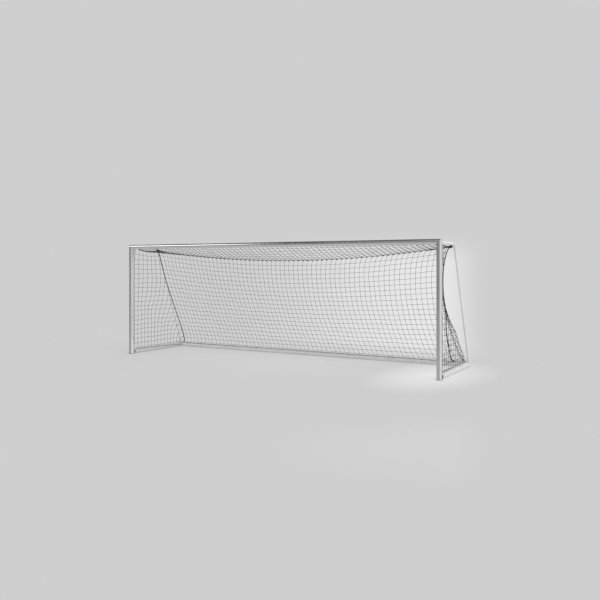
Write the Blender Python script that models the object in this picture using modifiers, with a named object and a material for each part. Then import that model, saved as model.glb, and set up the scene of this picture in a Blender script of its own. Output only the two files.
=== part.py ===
"""Full-size free-standing soccer goal: an oval aluminium frame, bent net brackets and a hung net.

Metres, +Z up. The origin is the middle of the footprint on the ground.
The mouth faces -Y, and +X is to the right of someone who looks into it.
"""

from math import copysign, cos, pi, sin, tan

import bmesh
import bpy
from mathutils import Matrix, Vector

# Goal mouth and depth
MOUTH_WIDTH = 7.32
MOUTH_HEIGHT = 2.44
GROUND_DEPTH = 1.85          # posts' axis to the rear face of the ground frame
ARM_REACH = 0.92             # posts' axis to the corner of the net bracket's axis
ARM_DROP = 0.015             # bracket axis below the crossbar's axis

# Extrusion
FACE = 0.100                 # frame bars, seen from the front
DEPTH = 0.120                # frame bars, front to back
GROUND_WIDTH = 0.120
GROUND_HEIGHT = 0.100
WALL = 0.0025
OVAL_POWER = 2.6
OVAL_SIDES = 24

# Net slot in the extrusion
SLOT_MOUTH = 0.009
SLOT_WIDTH = 0.017
SLOT_LIP = 0.0025
SLOT_DEEP = 0.006

# Corner connectors, flanges and feet
CONNECTOR_LEG = 0.20
CONNECTOR_WALL = 0.006
SCREW_RADIUS = 0.004
SCREW_LENGTH = 0.012
SCREW_SETBACK = 0.15         # corner to grub screw
PLATE = 0.008
FLANGE_WIDTH = 0.056
FLANGE_RISE = 0.115          # rail flange above the ground frame
PLUG_DEPTH = 0.10
FOOT_THICK = 0.006
FOOT_PROUD = 0.005
FOOT_PLUG = 0.05
FOOT_WALL = 0.004

# Net brackets
TUBE_RADIUS = 0.025
TUBE_WALL = 0.0025
TUBE_SIDES = 16
BEND_RADIUS = 0.10
BEND_STEPS = 7
SPIGOT_LENGTH = 0.08
SLEEVE_SIDES = 24
SLEEVE_WALL = 0.006
SLEEVE_LENGTH = 0.09
FOOT_EDGE = 0.050            # outer surface of the bracket's foot past the corner, outwards and to the rear
SHOE_OUT = 0.058             # shoe plate past the corner, outwards and to the rear
SHOE_IN = 0.105              # shoe plate past the corner, inwards and to the front
SHOE_WAIST = 0.018           # width of the plate's two tongues past the corner
SHOE_BOLT_FORWARD = 0.062
SHOE_BOLT_INWARD = 0.055

# Slot bolts
BOLT_RADIUS = 0.004
BOLT_HEAD = (0.015, 0.012, 0.004)
BOLT_STUB = 0.003
NUT_ACROSS = 0.013
NUT_THICK = 0.0065
BOLT_PITCH = 0.042
BOLT_EDGE = 0.022            # lowest or highest bolt to the plate's edge

# Net and ropes
NET_MESH = 0.35
NET_CORD = 0.004
ROPE_RADIUS = 0.005
SIDE_ROPE_RADIUS = 0.003
ROPE_STEP = 0.12
GROUND_ROPE_STEP = 0.25
GROUND_ROPE_ANGLE = 0.62     # round the bar from its crown to the rope on its inner side
RAIL_ROPE_ANGLES = (0.45, 1.5)
REAR_ROPE_SAG = 0.255
REAR_ROPE_BACK = 0.03
SIDE_ROPE_SAGS = {-1: 0.055, 1: 0.02}    # the left one hangs slacker
CORNER_INWARD_SAG = 0.178
CORNER_INWARD_SKEW = 0.90    # below 1 the deepest place is above the middle
CORNER_INWARD_FULL = 0.615   # below 1 the curve is fuller than a sine
CORNER_FORWARD_SAG = 0.22
CORNER_FORWARD_SKEW = 0.77
ROPE_ENDS = 6                # fewest stretches in a rope
HANGER_INWARD = 0.052
HANGER_DROP = 0.055
HANGER_KNOB = 0.014
HANGER_WIDTH = 0.022
HANGER_WALL = 0.005
HANGER_SIDES = 24
NECK_SINK = 0.001            # knob's neck into its band
HANGER_SETBACK = 0.012       # hanger's band to the start of the bend behind it
LUG_INWARD = 0.087
LUG_BACK = 0.02
LUG_HEIGHT = 0.030
LUG_KNOB = 0.010
LUG_NECK = 0.006
NET_INSET = 0.020            # net edge to the axis of the rope beside it
SIDE_NET_TURN = 0.88         # share of the height above which a side panel leans to the hanger
SIDE_NET_FLAT = 40.0         # how much longer a side panel stays in the rail's plane near the ground
SIDE_NET_FADE = 6.0

# Hook strips
HOOK_WIDTH = 0.012
HOOK_STEM = 0.004
HOOK_REACH = 0.026
HOOK_THROAT = 0.007
HOOK_BAR = 0.004
HOOK_LIP = 0.007
STRIP_FLANGE = 0.0035
STRIP_HALF = 0.0075

# Clearances
GAP = 0.0003
RUNNING = 0.0005
MERGE = 0.001                # how far the halves of one casting run into each other

# Derived places
OVAL_SPREAD = 1 / cos(pi / OVAL_SIDES) ** (2 / OVAL_POWER)   # puts an outline's flats on its true size
FRONT = DEPTH / 2 + FOOT_PROUD
POST_Y = (FRONT - GROUND_DEPTH) / 2
POST_X = MOUTH_WIDTH / 2 + FACE / 2
BAR_Z = MOUTH_HEIGHT + FACE / 2
REAR_AXIS = GROUND_DEPTH - GROUND_WIDTH / 2
ARM_Z = BAR_Z - ARM_DROP
PLATE_BACK = DEPTH / 2 + GAP + PLATE
SHOE_BASE = GROUND_HEIGHT + GAP
SHOE_TOP = SHOE_BASE + PLATE
BACK = Vector((0, 1, 0))
UP = Vector((0, 0, 1))
RIGHT = Vector((1, 0, 0))
FOOT_SPLAY = FOOT_EDGE - TUBE_RADIUS
ARM_CORNER = Vector((POST_X, ARM_REACH, ARM_Z))       # where the axes of arm and leg meet
LEG_FOOT = Vector((POST_X + FOOT_SPLAY, REAR_AXIS + FOOT_SPLAY, SHOE_TOP))
LEAN = (ARM_CORNER - LEG_FOOT).normalized()
BEND_TURN = BACK.angle(-LEAN)
BEND_START = ARM_REACH - BEND_RADIUS * tan(BEND_TURN / 2)
HANGER_BACK = BEND_START
CORD_SEAT = HOOK_REACH - GAP - NET_CORD / 2
CORD_SIDE = HOOK_STEM / 2 + HOOK_THROAT / 2
ARM_LOW = ARM_Z - TUBE_RADIUS - BOLT_PITCH - 2 * BOLT_EDGE
FLANGE_TOP = GROUND_HEIGHT + FLANGE_RISE
TOP_HALF = POST_X - HANGER_INWARD - NET_INSET
FOOT_HALF = POST_X - LUG_INWARD - NET_INSET
ROPE_TOP = ARM_Z - HANGER_DROP
NET_FRONT = DEPTH / 2 + CORD_SEAT
NET_LOW = GROUND_HEIGHT + CORD_SEAT
SIDES = (("left", -1), ("right", 1))

COLOURS = {
    "aluminium": ((0.72, 0.73, 0.74), 0.38, 1.0),
    "white_tube": ((0.86, 0.86, 0.85), 0.45, 0.0),
    "casting": ((0.55, 0.56, 0.57), 0.5, 1.0),
    "steel": ((0.6, 0.6, 0.61), 0.35, 1.0),
    "black_plastic": ((0.03, 0.03, 0.03), 0.6, 0.0),
    "net_cord": ((0.05, 0.05, 0.055), 0.85, 0.0),
}


def clear_scene():
    for obj in list(bpy.data.objects):
        bpy.data.objects.remove(obj, do_unlink=True)


def new_collection(name):
    collection = bpy.data.collections.new(name)
    bpy.context.scene.collection.children.link(collection)
    return collection


def dress(obj, finish):
    """Gives the object a material of its own in one of the finishes."""
    colour, roughness, metallic = COLOURS[finish]
    material = bpy.data.materials.new(obj.name)
    material.use_nodes = True
    shader = material.node_tree.nodes["Principled BSDF"]
    shader.inputs["Base Color"].default_value = (*colour, 1.0)
    shader.inputs["Roughness"].default_value = roughness
    shader.inputs["Metallic"].default_value = metallic
    obj.data.materials.clear()
    obj.data.materials.append(material)
    return obj


def add_object(name, mesh, collection=None):
    obj = bpy.data.objects.new(name, mesh)
    (collection or GOAL).objects.link(obj)
    return obj


def from_bmesh(name, bm, collection=None):
    mesh = bpy.data.meshes.new(name)
    bmesh.ops.recalc_face_normals(bm, faces=bm.faces)
    bm.to_mesh(mesh)
    bm.free()
    return add_object(name, mesh, collection)


def at(x, back, z):
    """A point given by its distance behind the posts' axis."""
    return Vector((x, POST_Y + back, z))


def on_side(side, place):
    """A point given for the right side as (x, back, z), put on either side."""
    return at(side * place.x, place.y, place.z)


def spread(s, half):
    """A share s of the way from -half to half."""
    return (2 * s - 1) * half


# Outlines

def oval(width, depth):
    """A flattened oval with a flat centred on each axis, so that it rests on a face."""
    step = 2 * pi / OVAL_SIDES
    exponent = 2 / OVAL_POWER
    points = []
    for i in range(OVAL_SIDES):
        angle = (i + 0.5) * step
        u = copysign(abs(cos(angle)) ** exponent, cos(angle)) * width / 2 * OVAL_SPREAD
        v = copysign(abs(sin(angle)) ** exponent, sin(angle)) * depth / 2 * OVAL_SPREAD
        points.append((u, v))
    return points


def with_notch(points, notch):
    """Replaces the top points of an outline that lie over the notch by the notch's own points."""
    edge = notch[0][0]
    right = [p for p in points if p[1] > 0 and p[0] > edge]
    left = [p for p in points if p[1] > 0 and p[0] < -edge]
    low = [p for p in points if p[1] <= 0]
    return right + notch + left + low


def slotted_outline(width, depth):
    """The extrusion's outer line, with the net slot in the middle of its top."""
    top = depth / 2
    mouth = SLOT_MOUTH / 2
    half = SLOT_WIDTH / 2
    floor = top - SLOT_LIP - SLOT_DEEP
    right = [(mouth, top), (mouth, top - SLOT_LIP), (half, top - SLOT_LIP), (half, floor)]
    left = [(-u, v) for u, v in reversed(right)]
    return with_notch(oval(width, depth), right + left)


def bore_outline(width, depth, inset):
    """The extrusion's inner line when inset is its wall, and a plug's outer line when it is more."""
    half = SLOT_WIDTH / 2 + inset
    floor = depth / 2 - SLOT_LIP - SLOT_DEEP - inset
    roof = depth / 2 - inset
    notch = [(half, roof), (half, floor), (-half, floor), (-half, roof)]
    return with_notch(oval(width - 2 * inset, depth - 2 * inset), notch)


def circle(radius, sides):
    step = 2 * pi / sides
    return [(radius * cos((i + 0.5) * step), radius * sin((i + 0.5) * step)) for i in range(sides)]


def rectangle(left, right, low, high):
    return [(left, low), (right, low), (right, high), (left, high)]


# Solids

def filled(outlines):
    """A bmesh with the flat face between the outlines, each vertex carrying its place in the outline."""
    curve = bpy.data.curves.new("outline", "CURVE")
    curve.dimensions = "2D"
    curve.fill_mode = "BOTH"
    for points in outlines:
        spline = curve.splines.new("POLY")
        spline.points.add(len(points) - 1)
        for point, (u, v) in zip(spline.points, points):
            point.co = (u, v, 0, 1)
        spline.use_cyclic_u = True
    holder = bpy.data.objects.new("outline", curve)
    bpy.context.scene.collection.objects.link(holder)
    depsgraph = bpy.context.evaluated_depsgraph_get()
    mesh = bpy.data.meshes.new_from_object(holder.evaluated_get(depsgraph))
    bpy.data.objects.remove(holder, do_unlink=True)
    bm = bmesh.new()
    bm.from_mesh(mesh)
    bpy.data.meshes.remove(mesh)
    bmesh.ops.remove_doubles(bm, verts=bm.verts, dist=1e-6)
    bmesh.ops.beautify_fill(bm, faces=bm.faces, edges=bm.edges, method="ANGLE")
    return bm


def extruded(name, outlines, rings, collection=None):
    """A solid that runs through the rings; a ring is a function from the outline's (u, v) to space."""
    bm = filled(outlines)
    place = bm.verts.layers.float_vector.new("place")
    for vert in bm.verts:
        vert[place] = vert.co
        vert.co = rings[0](vert.co.x, vert.co.y)
    faces = list(bm.faces)
    for number, ring in enumerate(rings[1:]):
        copied = bmesh.ops.extrude_face_region(bm, geom=faces)["geom"]
        if number > 0:
            bmesh.ops.delete(bm, geom=faces, context="FACES")
        faces = [item for item in copied if isinstance(item, bmesh.types.BMFace)]
        for vert in copied:
            if isinstance(vert, bmesh.types.BMVert):
                vert.co = ring(vert[place].x, vert[place].y)
    bm.verts.layers.float_vector.remove(place)
    return from_bmesh(name, bm, collection)


def along(start, end, across):
    """Two rings for an outline drawn square to the line from start to end; across is its u direction."""
    axis = (end - start).normalized()
    u_axis = (across - axis * across.dot(axis)).normalized()
    v_axis = axis.cross(u_axis)
    return [
        lambda u, v: start + u_axis * u + v_axis * v,
        lambda u, v: end + u_axis * u + v_axis * v,
    ]


def rod(name, start, end, radius, sides=12, collection=None):
    across = UP if abs((end - start).normalized().z) < 0.9 else BACK
    return extruded(name, [circle(radius, sides)], along(start, end, across), collection)


def ball(name, centre, radius, collection=None):
    bm = bmesh.new()
    bmesh.ops.create_uvsphere(bm, u_segments=12, v_segments=8, radius=radius)
    bmesh.ops.translate(bm, verts=bm.verts, vec=centre)
    return from_bmesh(name, bm, collection)


def combine(obj, tools, operation):
    """Joins or cuts the object with the tools, which are then removed."""
    for tool in tools:
        step = obj.modifiers.new("step", "BOOLEAN")
        step.operation = operation
        step.solver = "EXACT"
        step.object = tool
    depsgraph = bpy.context.evaluated_depsgraph_get()
    depsgraph.update()
    mesh = bpy.data.meshes.new_from_object(obj.evaluated_get(depsgraph))
    obj.modifiers.clear()
    obj.data = mesh
    for tool in tools:
        bpy.data.objects.remove(tool, do_unlink=True)
    return obj


def cutter_rod(start, end, radius, sides=16):
    return rod("cutter", start, end, radius, sides, CUTTERS)


def smooth(obj, angle=0.6):
    obj.data.shade_smooth()
    obj.data.set_sharp_from_angle(angle=angle)
    return obj


# Bars of the frame

def bar(name, width, depth, rings):
    outlines = [slotted_outline(width, depth), bore_outline(width, depth, WALL)]
    return smooth(dress(extruded(name, outlines, rings), "aluminium"))


def connector(name, width, depth, rings):
    """A hollow elbow that fits inside two mitred bars."""
    outlines = [
        bore_outline(width, depth, WALL + GAP),
        bore_outline(width, depth, WALL + GAP + CONNECTOR_WALL),
    ]
    return dress(extruded(name, outlines, rings), "casting")


def frame_ring_x(side, x_at):
    """A ring of the crossbar: u is up, v is back."""
    return lambda u, v: at(side * x_at(u), v, BAR_Z + u)


def post_ring(side, z_at):
    return lambda u, v: at(side * (POST_X + u), v, z_at(u))


def rear_ring(side, x_at):
    """A ring of the rear ground bar: u is back, v is up."""
    return lambda u, v: at(side * x_at(u), REAR_AXIS + u, GROUND_HEIGHT / 2 + v)


def rail_ring(side, back_at):
    return lambda u, v: at(side * (POST_X + u), back_at(u), GROUND_HEIGHT / 2 + v)


def slot_floor(depth):
    return depth / 2 - SLOT_LIP - SLOT_DEEP


def grub_screw(name, mouth, inward, drilled):
    """A grub screw that pins a connector through the floor of the net slot."""
    for obj in drilled:
        start = mouth - inward * SLOT_DEEP / 2
        end = mouth + inward * (SCREW_LENGTH + CONNECTOR_WALL)
        combine(obj, [cutter_rod(start, end, SCREW_RADIUS + RUNNING, 12)], "DIFFERENCE")
    return dress(rod(name, mouth, mouth + inward * SCREW_LENGTH, SCREW_RADIUS), "steel")


def build_frame():
    crossbar = bar("crossbar", FACE, DEPTH, [
        frame_ring_x(-1, lambda u: POST_X + u - GAP),
        frame_ring_x(1, lambda u: POST_X + u - GAP),
    ])
    rear_bar = bar("rear_ground_bar", GROUND_WIDTH, GROUND_HEIGHT, [
        rear_ring(-1, lambda u: POST_X + u - GAP),
        rear_ring(1, lambda u: POST_X + u - GAP),
    ])
    for word, side in SIDES:
        post = bar(f"{word}_post", FACE, DEPTH, [
            post_ring(side, lambda u: FOOT_THICK + GAP),
            post_ring(side, lambda u: BAR_Z + u),
        ])
        rail = bar(f"{word}_side_rail", GROUND_WIDTH, GROUND_HEIGHT, [
            rail_ring(side, lambda u: PLATE_BACK + GAP),
            rail_ring(side, lambda u: REAR_AXIS + u),
        ])
        top = connector(f"{word}_top_connector", FACE, DEPTH, [
            frame_ring_x(side, lambda u: POST_X - CONNECTOR_LEG),
            frame_ring_x(side, lambda u: POST_X + u),
            post_ring(side, lambda u: BAR_Z - CONNECTOR_LEG),
        ])
        rear = connector(f"{word}_rear_connector", GROUND_WIDTH, GROUND_HEIGHT, [
            rear_ring(side, lambda u: POST_X - CONNECTOR_LEG),
            rear_ring(side, lambda u: POST_X + u),
            rail_ring(side, lambda u: REAR_AXIS - CONNECTOR_LEG),
        ])
        inner_x = side * (POST_X - SCREW_SETBACK)
        floor = slot_floor(DEPTH)
        grub_screw(f"{word}_crossbar_screw", at(inner_x, floor, BAR_Z), -BACK, [crossbar, top])
        post_screw = at(side * POST_X, floor, BAR_Z - SCREW_SETBACK)
        grub_screw(f"{word}_post_screw", post_screw, -BACK, [post, top])
        floor = GROUND_HEIGHT / 2 + slot_floor(GROUND_HEIGHT)
        grub_screw(f"{word}_rear_bar_screw", at(inner_x, REAR_AXIS, floor), -UP, [rear_bar, rear])
        rail_screw = at(side * POST_X, REAR_AXIS - SCREW_SETBACK, floor)
        grub_screw(f"{word}_rail_screw", rail_screw, -UP, [rail, rear])
        post_foot(f"{word}_post_foot", side)
        rail_flange(f"{word}_rail_flange", side)


def post_foot(name, side):
    """A foot pad whose hollow plug closes the lower end of the post."""
    pad = extruded(name, [oval(FACE + 2 * FOOT_PROUD, DEPTH + 2 * FOOT_PROUD)], [
        post_ring(side, lambda u: 0),
        post_ring(side, lambda u: FOOT_THICK),
    ])
    inset = WALL + GAP
    plug = extruded("plug", [
        bore_outline(FACE, DEPTH, inset),
        bore_outline(FACE, DEPTH, inset + FOOT_WALL),
    ], [
        post_ring(side, lambda u: FOOT_THICK / 2),
        post_ring(side, lambda u: FOOT_THICK + FOOT_PLUG),
    ], CUTTERS)
    return dress(combine(pad, [plug], "UNION"), "black_plastic")


# Slot bolts

def slot_bolt_mesh():
    """A hammer-head bolt with its nut; the slot's lip is at z = -SLOT_LIP and the bolt points up."""
    low = -SLOT_LIP - GAP
    across, length, thick = BOLT_HEAD
    grip = GAP + PLATE + GAP
    head_outline = [rectangle(-across / 2, across / 2, -length / 2, length / 2)]
    head = extruded("slot_bolt", head_outline, along(UP * (low - thick), UP * low, RIGHT), CUTTERS)
    tip = grip + NUT_THICK + BOLT_STUB
    shank = rod("shank", UP * (low - thick / 2), UP * tip, BOLT_RADIUS, 8, CUTTERS)
    nut = rod("nut", UP * grip, UP * (grip + NUT_THICK), NUT_ACROSS / 2 / cos(pi / 6), 6, CUTTERS)
    combine(head, [shank, nut], "UNION")
    mesh = head.data
    bpy.data.objects.remove(head, do_unlink=True)
    return mesh


def slot_bolt(name, mesh, place, outward, slot_line):
    """Stands a bolt in a slot: place is on the bar's crown, slot_line runs along the slot."""
    x_axis = slot_line.cross(outward).normalized()
    turn = Matrix((x_axis, slot_line, outward)).transposed()
    obj = add_object(name, mesh.copy())
    obj.data.transform(Matrix.Translation(place) @ turn.to_4x4())
    return dress(obj, "steel")


def bolt_hole(place, outward):
    """A cutter for the hole of a slot bolt in the plate that lies on the crown at this place."""
    return cutter_rod(place - outward * PLATE, place + outward * PLATE * 2, BOLT_RADIUS + RUNNING)


def rail_flange(name, side):
    """An upright plate on the post's back with the plug that carries the side rail."""
    x = side * POST_X
    half = FLANGE_WIDTH / 2
    foot = FOOT_THICK + RUNNING * 4
    plate = extruded(name, [rectangle(-half, half, foot, FLANGE_TOP)], [
        lambda u, v: at(x + u, DEPTH / 2 + GAP, v),
        lambda u, v: at(x + u, PLATE_BACK, v),
    ])
    inset = WALL + GAP
    plug = extruded("plug", [
        bore_outline(GROUND_WIDTH, GROUND_HEIGHT, inset),
        bore_outline(GROUND_WIDTH, GROUND_HEIGHT, inset + CONNECTOR_WALL),
    ], [
        rail_ring(side, lambda u: PLATE_BACK - MERGE),
        rail_ring(side, lambda u: PLATE_BACK + PLUG_DEPTH),
    ], CUTTERS)
    holes = [bolt_hole(at(x, DEPTH / 2, FLANGE_TOP - BOLT_EDGE - i * BOLT_PITCH), BACK) for i in range(2)]
    combine(plate, [plug], "UNION")
    combine(plate, holes, "DIFFERENCE")
    return dress(plate, "casting")


# Net brackets

def bracket_end():
    """Centre of the square-cut lower end of the right tube, just clear of the shoe's plate."""
    rise = (TUBE_RADIUS + GAP) * LEAN.xy.length / LEAN.z
    return LEG_FOOT + LEAN * (rise + RUNNING * 2)


def bracket_path():
    """Points of the right bracket's axis, as (x, back, z), from the arm's front end to the leg's foot."""
    points = [Vector((POST_X, PLATE_BACK + GAP, ARM_Z))]
    inner = (-LEAN - BACK * cos(BEND_TURN)).normalized()
    centre = Vector((POST_X, BEND_START, ARM_Z)) + inner * BEND_RADIUS
    for i in range(BEND_STEPS + 1):
        angle = BEND_TURN * i / BEND_STEPS
        points.append(centre + (BACK * sin(angle) - inner * cos(angle)) * BEND_RADIUS)
    points.append(bracket_end())
    return points


def net_bracket(name, side):
    """One tube: a level arm, a bend and a leg that leans back to the corner of the ground frame."""
    curve = bpy.data.curves.new(name, "CURVE")
    curve.dimensions = "3D"
    curve.bevel_depth = TUBE_RADIUS
    curve.bevel_resolution = TUBE_SIDES // 2 - 2
    curve.use_fill_caps = False
    path = bracket_path()
    spline = curve.splines.new("POLY")
    spline.points.add(len(path) - 1)
    for point, place in zip(spline.points, path):
        point.co = (*on_side(side, place), 1)
    holder = add_object("holder", curve)
    depsgraph = bpy.context.evaluated_depsgraph_get()
    mesh = bpy.data.meshes.new_from_object(holder.evaluated_get(depsgraph))
    bpy.data.objects.remove(holder, do_unlink=True)
    obj = add_object(name, mesh)
    shell = obj.modifiers.new("wall", "SOLIDIFY")
    shell.thickness = TUBE_WALL
    shell.offset = -1
    shell.use_even_offset = True
    return smooth(dress(obj, "white_tube"), 0.9)


def arm_flange(name, side):
    """A plate on the post's back with the spigot that the bracket's arm slides on to."""
    x = side * POST_X
    half = FLANGE_WIDTH / 2
    spigot_radius = (TUBE_RADIUS - TUBE_WALL) * cos(pi / TUBE_SIDES) - GAP
    top = ARM_Z + TUBE_RADIUS
    plate = extruded(name, [rectangle(-half, half, ARM_LOW, top)], [
        lambda u, v: at(x + u, DEPTH / 2 + GAP, v),
        lambda u, v: at(x + u, PLATE_BACK, v),
    ])
    spigot = rod("spigot", at(x, PLATE_BACK - PLATE / 2, ARM_Z), at(x, PLATE_BACK + SPIGOT_LENGTH, ARM_Z),
                 spigot_radius, TUBE_SIDES, CUTTERS)
    combine(plate, [spigot], "UNION")
    holes = [bolt_hole(at(x, DEPTH / 2, ARM_LOW + BOLT_EDGE + i * BOLT_PITCH), BACK) for i in range(2)]
    combine(plate, holes, "DIFFERENCE")
    return dress(plate, "casting")


def lug_centre(side):
    return at(side * (POST_X - LUG_INWARD), REAR_AXIS + LUG_BACK, SHOE_TOP + LUG_HEIGHT)


def bracket_shoe(name, side):
    """A plate on the rear corner with the leaning sleeve for the bracket and the lug of the corner rope."""
    x = side * POST_X
    corner = [(-SHOE_OUT, -SHOE_OUT), (SHOE_IN, -SHOE_OUT), (SHOE_IN, SHOE_WAIST),
              (SHOE_WAIST, SHOE_IN), (-SHOE_OUT, SHOE_IN)]
    plate = extruded(name, [corner], [
        lambda u, v: at(x - side * u, REAR_AXIS - v, SHOE_BASE),
        lambda u, v: at(x - side * u, REAR_AXIS - v, SHOE_TOP),
    ])
    outer = TUBE_RADIUS + GAP + SLEEVE_WALL

    def sleeve_ring(z):
        centre = on_side(side, LEG_FOOT + LEAN * ((z - SHOE_TOP) / LEAN.z))
        return lambda u, v: centre + Vector((u, v / LEAN.z, 0))

    sleeve = extruded("sleeve", [circle(outer, SLEEVE_SIDES)], [
        sleeve_ring(SHOE_TOP - PLATE / 2), sleeve_ring(SHOE_TOP + SLEEVE_LENGTH * LEAN.z),
    ], CUTTERS)
    lug = lug_centre(side)
    pillar = rod("pillar", lug - UP * (LUG_HEIGHT + PLATE / 2), lug, LUG_NECK, 8, CUTTERS)
    knob = ball("knob", lug, LUG_KNOB, CUTTERS)
    combine(plate, [sleeve, pillar, knob], "UNION")
    end = bracket_end() - LEAN * GAP
    mouth = end + LEAN * SLEEVE_LENGTH * 2
    bore_radius = (TUBE_RADIUS + GAP) / cos(pi / SLEEVE_SIDES)
    bore = cutter_rod(on_side(side, end), on_side(side, mouth), bore_radius, SLEEVE_SIDES)
    holes = [bolt_hole(place, UP) for place in shoe_bolt_places(side)]
    combine(plate, [bore] + holes, "DIFFERENCE")
    return smooth(dress(plate, "casting"), 0.5)


def shoe_bolt_places(side):
    x = side * POST_X
    return [
        at(x, REAR_AXIS - SHOE_BOLT_FORWARD, GROUND_HEIGHT),
        at(x - side * SHOE_BOLT_INWARD, REAR_AXIS, GROUND_HEIGHT),
    ]


def build_brackets():
    bolt = slot_bolt_mesh()
    for word, side in SIDES:
        x = side * POST_X
        net_bracket(f"{word}_net_bracket", side)
        arm_flange(f"{word}_arm_flange", side)
        bracket_shoe(f"{word}_bracket_shoe", side)
        for i, level in enumerate(("upper", "lower")):
            z = FLANGE_TOP - BOLT_EDGE - i * BOLT_PITCH
            slot_bolt(f"{word}_rail_flange_{level}_bolt", bolt, at(x, DEPTH / 2, z), BACK, UP)
            z = ARM_LOW + BOLT_EDGE + (1 - i) * BOLT_PITCH
            slot_bolt(f"{word}_arm_flange_{level}_bolt", bolt, at(x, DEPTH / 2, z), BACK, UP)
        rail_place, rear_place = shoe_bolt_places(side)
        slot_bolt(f"{word}_shoe_rail_bolt", bolt, rail_place, UP, BACK)
        slot_bolt(f"{word}_shoe_rear_bolt", bolt, rear_place, UP, RIGHT)
    bpy.data.meshes.remove(bolt)


# Routes of the ropes, which the net follows

def hanger_centre(side):
    return at(side * (POST_X - HANGER_INWARD), HANGER_BACK, ARM_Z - HANGER_DROP)


def rear_rope(s):
    """From the left hanger, s = 0, to the right one, s = 1."""
    left, right = hanger_centre(-1), hanger_centre(1)
    hang = 4 * s * (1 - s)
    return left.lerp(right, s) + Vector((0, REAR_ROPE_BACK, -REAR_ROPE_SAG)) * hang


def corner_rope(side, t):
    """From the hanger, t = 0, down to the lug on the shoe, t = 1."""
    inward = CORNER_INWARD_SAG * max(sin(pi * t ** CORNER_INWARD_SKEW), 0) ** CORNER_INWARD_FULL
    forward = CORNER_FORWARD_SAG * sin(pi * t ** CORNER_FORWARD_SKEW)
    return hanger_centre(side).lerp(lug_centre(side), t) + Vector((-side * inward, -forward, 0))


def side_rope_start(side):
    return at(side * (POST_X - HANGER_INWARD), DEPTH / 2 + GAP + SIDE_ROPE_RADIUS / 2, BAR_Z - CORD_SIDE)


def side_rope_hang(s, t):
    """How far the top net hangs, which blends from the left side rope, s = 0, to the right one, s = 1."""
    return 4 * t * (1 - t) * (SIDE_ROPE_SAGS[-1] * (1 - s) + SIDE_ROPE_SAGS[1] * s)


def side_rope(side, t):
    """From the crossbar, t = 0, back to the hanger, t = 1."""
    return side_rope_start(side).lerp(hanger_centre(side), t) - UP * side_rope_hang((side + 1) / 2, t)


def flank(angle):
    """Axis of a rope that lies against a ground bar, as (towards the goal's middle, height)."""
    exponent = 2 / OVAL_POWER
    across, up = sin(angle) ** exponent, cos(angle) ** exponent
    normal = Vector((across ** (OVAL_POWER - 1) / GROUND_WIDTH, up ** (OVAL_POWER - 1) / GROUND_HEIGHT))
    surface = Vector((across * GROUND_WIDTH, up * GROUND_HEIGHT)) / 2 * OVAL_SPREAD
    surface.y += GROUND_HEIGHT / 2
    return surface + normal.normalized() * (ROPE_RADIUS + GAP)


def rear_bar_rope(s):
    reach = POST_X - SHOE_IN
    forward, height = flank(GROUND_ROPE_ANGLE)
    return at(spread(s, reach), REAR_AXIS - forward, height)


def rail_rope(side, t):
    """From the rail's flange, t = 0, near the crown, to the rear bar, t = 1, where it has slid down."""
    near, low = RAIL_ROPE_ANGLES
    inward, height = flank(near + (low - near) * t)
    front = PLATE_BACK + GAP
    rear = REAR_AXIS - GROUND_WIDTH / 2 - 2 * ROPE_RADIUS
    return at(side * (POST_X - inward), front + (rear - front) * t, height)


def rope(name, route, length, radius, start_clear, end_clear, step=ROPE_STEP):
    """A round rope along a route, cut square just clear of what holds its ends."""
    count = max(int(round(length / step)), ROPE_ENDS)
    points = [route(i / count) for i in range(count + 1)]
    points[0] = points[0] + (points[1] - points[0]).normalized() * start_clear
    points[-1] = points[-1] + (points[-2] - points[-1]).normalized() * end_clear
    curve = bpy.data.curves.new(name, "CURVE")
    curve.dimensions = "3D"
    curve.bevel_depth = radius
    curve.bevel_resolution = 2
    curve.use_fill_caps = True
    spline = curve.splines.new("POLY")
    spline.points.add(count)
    for point, place in zip(spline.points, points):
        point.co = (*place, 1)
    return dress(add_object(name, curve), "net_cord")


def build_ropes():
    knob_clear = HANGER_KNOB + GAP
    length = 2 * (POST_X - HANGER_INWARD)
    rope("rear_top_rope", rear_rope, length, ROPE_RADIUS, knob_clear, knob_clear)
    rope("rear_bar_rope", rear_bar_rope, length, ROPE_RADIUS, 0, 0, GROUND_ROPE_STEP)
    for word, side in SIDES:
        rope(f"{word}_rail_rope", lambda t: rail_rope(side, t), REAR_AXIS, ROPE_RADIUS,
             0, 0, GROUND_ROPE_STEP)
        rope(f"{word}_corner_rope", lambda t: corner_rope(side, t), ROPE_TOP, ROPE_RADIUS,
             knob_clear, LUG_KNOB + GAP)
        rope(f"{word}_side_rope", lambda t: side_rope(side, t), HANGER_BACK, SIDE_ROPE_RADIUS,
             GAP, knob_clear)


def net_hanger(name, side):
    """A band round the bracket's arm with a knob that the ropes are tied to."""
    x = side * POST_X
    inner = (TUBE_RADIUS + GAP) / cos(pi / HANGER_SIDES)
    rear = BEND_START - HANGER_SETBACK
    band = extruded(name, [circle(inner + HANGER_WALL, HANGER_SIDES), circle(inner, HANGER_SIDES)],
                    along(at(x, rear - HANGER_WIDTH, ARM_Z), at(x, rear, ARM_Z), UP))
    knob_centre = hanger_centre(side)
    middle = at(x, rear - HANGER_WIDTH / 2, ARM_Z)
    reach = (knob_centre - middle).normalized()
    root = middle + reach * (inner + HANGER_WALL - NECK_SINK)
    neck = rod("neck", root, knob_centre, HANGER_KNOB / 2, 8, CUTTERS)
    knob = ball("knob", knob_centre, HANGER_KNOB, CUTTERS)
    return smooth(dress(combine(band, [neck, knob], "UNION"), "casting"))


# Hook strips in the net slots

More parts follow.
